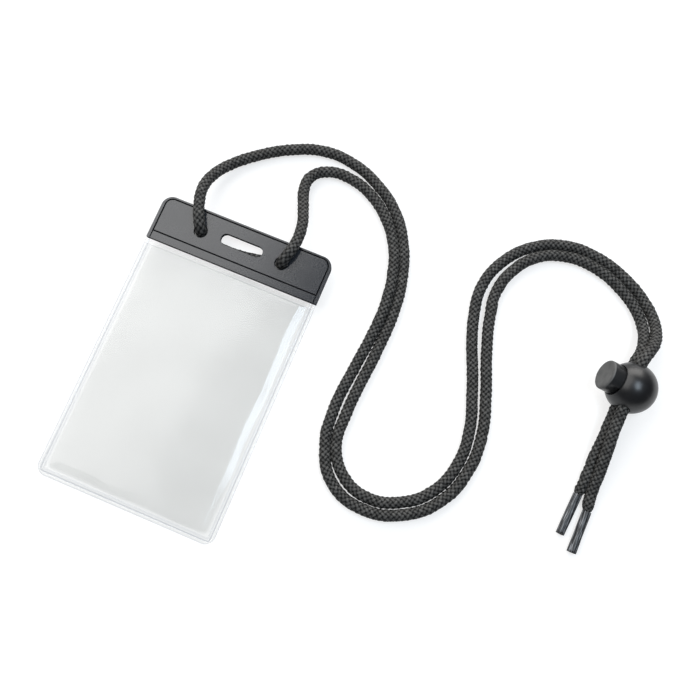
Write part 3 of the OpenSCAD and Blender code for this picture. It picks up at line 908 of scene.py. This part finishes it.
cap = spun(
    [(0, plunger_z), (button_r - PLUNGER_CHAMFER, plunger_z),
     (button_r, plunger_z + PLUNGER_CHAMFER),
     *arc(button_r - RIM_R, BUTTON_TOP - RIM_R, RIM_R, 0, pi / 2, RIM_STEPS),
     *arc(0, BUTTON_TOP - DISH_T + dish_sphere_r, dish_sphere_r, dish_angle - pi / 2, -pi / 2,
          DISH_STEPS)])
face_grey_layer = cap.verts.layers.float.new("lighter_share")
for vert in cap.verts:
    vert[face_grey_layer] = ease((vert.co.z - BUTTON_TOP + RIM_R) / RIM_R * FACE_GREY_FADE)
button = shown("lock_button_cap", cap, button_plastic(), locked)
cut_window(button, window_z, window_h + BUTTON_TRAVEL)
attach(button, "button")
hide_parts("lock_button")

# The spring: a coil of plain steel wire between the ball's seat and the plunger's
# inner end. Pressing the button squeezes it.
WIRE_D = 0.00045
WIRE_SIDES = 12
SPRING_TURNS = 3.5
SPRING_TOUCH = 0.00002
COIL_STEPS = 32
STEEL = (0.62, 0.62, 0.63, 1)
STEEL_ROUGHNESS = (0.25, 0.4)
STEEL_GRAIN_PER_M = 3000
STEEL_GRAIN_T = 0.000003

coil_r = SPRING_D / 2 - WIRE_D / 2
coil_low = WIRE_D / 2 + SPRING_TOUCH - SPRING_SEAT
coil_high = plunger_z - WIRE_D / 2 - SPRING_TOUCH
coil_steps = round(SPRING_TURNS * COIL_STEPS)
coil_start = Matrix.Translation((coil_r, 0, coil_low)) @ Matrix.Rotation(pi / 2, 4, "X")
coil = bmesh.new()
wire = bmesh.ops.create_circle(coil, segments=WIRE_SIDES, radius=WIRE_D / 2, cap_ends=False,
                               matrix=coil_start)["verts"]
bmesh.ops.spin(coil, geom=wire + list({e for v in wire for e in v.link_edges}), cent=(0, 0, 0),
               axis=(0, 0, 1), dvec=(0, 0, (coil_high - coil_low) / coil_steps),
               angle=2 * pi * SPRING_TURNS, steps=coil_steps)
bmesh.ops.holes_fill(coil, edges=[e for e in coil.edges if e.is_boundary], sides=0)
bmesh.ops.recalc_face_normals(coil, faces=coil.faces[:])
steel = moulded("spring_wire", STEEL, STEEL, STEEL_ROUGHNESS, STEEL_GRAIN_PER_M, STEEL_GRAIN_T,
                metallic=1)
spring = shown("lock_spring_coil", coil, steel, locked)
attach(spring, "cord_lock")
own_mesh(spring)
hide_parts("lock_spring")

# The wrapped ends: a strip of dark film is rolled round each strand's end and shrunk
# on, which leaves lengthwise creases, a lapped edge and a slightly flattened tip.
TIP_D = 0.0032
TIP_WALL = 0.00025
TIP_SIDES = 72
TIP_RINGS = 20
TIP_FLAT = 0.1
FLAT_RUN = 0.45
CREASE_T = 0.00007
CREASES = 3
CREASE_WAVES = 1.5
CREASE_SHARE = 0.6
LAP_T = 0.00009
LAP_EDGE = 12
LAP_DRIFT = 0.0275
LEFT_WRAP_TURN = 0.6
RIGHT_WRAP_TURN = 2.3
TIP_DARK = (0.012, 0.0125, 0.014, 1)
TIP_PALE = (0.29, 0.30, 0.32, 1)
TIP_ROUGHNESS = (0.3, 0.65)
STREAKS = (24, 2.6, 1)
STREAK_SPAN = (0.5, 0.66)


def wrapped_film():
    """Shiny dark film with pale lengthwise streaks in its colour, from the same noise that raises
    its fine creases.
    """
    material, skin, add, feed = new_finish("wrapped_film")
    lay = add("UVMap", {}, uv_map="wrap").outputs["UV"]
    drawn = add("Mapping", {"Vector": lay, "Scale": STREAKS}).outputs[0]
    streak = speckle(add, drawn, 1, 4)
    pale = spread(add, streak, (0, 1), STREAK_SPAN)
    feed(skin, {"Base Color": tinted(add, pale, TIP_DARK, TIP_PALE),
                "Roughness": spread(add, streak, TIP_ROUGHNESS),
                "Normal": embossed(add, streak, CREASE_T, CREASE_SHARE)})
    return material


def aglet(name, neck, tip, turn, material):
    """One wrapped end from neck to tip: an open sleeve, creased and lapped, flattened
    towards its tip, with a wall inside."""
    run = Vector(tip) - Vector(neck)
    bm = bmesh.new()
    lay = bm.loops.layers.uv.new("wrap")
    bmesh.ops.create_grid(bm, x_segments=TIP_SIDES, y_segments=TIP_RINGS, size=1)
    bm.verts.index_update()
    shares = [((v.co.x + 1) / 2, (v.co.y + 1) / 2) for v in bm.verts]
    for face in bm.faces:
        for loop in face.loops:
            loop[lay].uv = shares[loop.vert.index]
    for vert, (around, along) in zip(bm.verts, shares):
        angle = 2 * pi * around
        fold = noise.noise(Vector((CREASES * cos(angle), CREASES * sin(angle),
                                   CREASE_WAVES * along + turn)))
        lap = (around + LAP_DRIFT * along) % 1
        radius = TIP_D / 2 - LAP_T * ease(lap * LAP_EDGE) * (1 - lap) - CREASE_T * max(fold, 0)
        flat = TIP_FLAT * ease((along - 1 + FLAT_RUN) / FLAT_RUN)
        vert.co = (radius * cos(angle) * (1 + flat / 2), radius * sin(angle) * (1 - flat),
                   along * run.length)
    bmesh.ops.remove_doubles(bm, verts=bm.verts[:], dist=SAME_POINT)
    bmesh.ops.recalc_face_normals(bm, faces=bm.faces[:])
    bmesh.ops.solidify(bm, geom=bm.faces[:], thickness=TIP_WALL)
    bmesh.ops.recalc_face_normals(bm, faces=bm.faces[:])
    place = Matrix.Translation(neck) @ run.to_track_quat("Z", "Y").to_matrix().to_4x4()
    return shown(name, bm, material, place @ Matrix.Rotation(turn, 4, "Z"))


wrap = wrapped_film()
wrap_left = aglet("wrap_left", *left_end, LEFT_WRAP_TURN, wrap)
wrap_right = aglet("wrap_right", *right_end, RIGHT_WRAP_TURN, wrap)
for sleeve, node in ((wrap_left, "aglet_left"), (wrap_right, "aglet_right")):
    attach(sleeve, "holder")
    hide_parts(node)

# The studio: a plain white sweep below, one wide soft lamp over the holder's left, a
# pale strip behind and a small cool window on the right.
FLOOR_SIZE = 6
FLOOR_Z = -0.00032
FLOOR_WHITE = (0.38, 0.38, 0.38, 1)
FLOOR_LIFT = 0.67
ROOM_GREY = (0.80, 0.82, 0.85, 1)
ROOM_LIGHT = 0.1
SET_MIDDLE = (0.05, 0.03, 0)
BALL_MIDDLE = (0.142, 0.049, 0)
LAMPS = (
    ("key", (-0.545, 0.165, 0.805), SET_MIDDLE, (1.2, 0.86), 9.0, (1.0, 0.99, 0.97)),
    ("strip", (-0.1, 1.05, 0.45), SET_MIDDLE, (1.1, 0.75), 11.5, (1.0, 0.98, 0.95)),
    ("window", (0.262, 0.085, 0.69), BALL_MIDDLE, (0.36, 0.22), 2.5, (0.76, 0.88, 1.0)),
)


def seen_directly(add):
    """1 for what the camera sees, by itself or in a mirror or a clear piece."""
    path = add("LightPath", {}).outputs
    mirrored = worked(add, "MAXIMUM", path["Is Camera Ray"], path["Is Glossy Ray"])
    return worked(add, "MAXIMUM", mirrored, path["Is Transmission Ray"])


def white_sweep():
    """White paper that keeps shadows, and that the camera and every gloss see as white."""
    material, skin, add, feed = new_finish("white_sweep")
    feed(skin, {"Base Color": FLOOR_WHITE, "Roughness": 1, "Specular IOR Level": 0})
    lift = add("Emission", {"Strength": FLOOR_LIFT})
    lifted = add("AddShader", {0: skin.outputs[0], 1: lift.outputs[0]})
    paper = add("MixShader", {0: seen_directly(add), 1: skin.outputs[0], 2: lifted.outputs[0]})
    feed(material.node_tree.nodes["Material Output"], {"Surface": paper.outputs[0]})
    return material


def softbox(name, at, aim, size, power, colour):
    """A soft rectangular lamp at a place, turned to where it aims."""
    lamp = bpy.data.lights.new(name, "AREA")
    lamp.shape = "RECTANGLE"
    lamp.size, lamp.size_y = size
    lamp.energy = power
    lamp.color = colour
    placed = bpy.data.objects.new(name, lamp)
    turn = (Vector(at) - Vector(aim)).to_track_quat("Z", "Y")
    placed.matrix_world = Matrix.Translation(at) @ turn.to_matrix().to_4x4()
    bpy.context.collection.objects.link(placed)


sheet = bmesh.new()
bmesh.ops.create_grid(sheet, x_segments=1, y_segments=1, size=FLOOR_SIZE / 2)
shown("floor", sheet, white_sweep(), Matrix.Translation((0, 0, FLOOR_Z)))
for lamp in LAMPS:
    softbox(*lamp)

world = bpy.data.worlds.new("studio")
world.use_nodes = True
bpy.context.scene.world = world
add, feed = node_tools(world.node_tree)
room = feed(world.node_tree.nodes["Background"], {"Color": ROOM_GREY, "Strength": ROOM_LIGHT})
backdrop = add("Background", {"Color": WHITE})
seen = add("LightPath", {}).outputs["Is Camera Ray"]
pick = add("MixShader", {0: seen, 1: room.outputs[0], 2: backdrop.outputs[0]})
feed(world.node_tree.nodes["World Output"], {"Surface": pick.outputs[0]})
bpy.context.scene.view_settings.view_transform = "Standard"
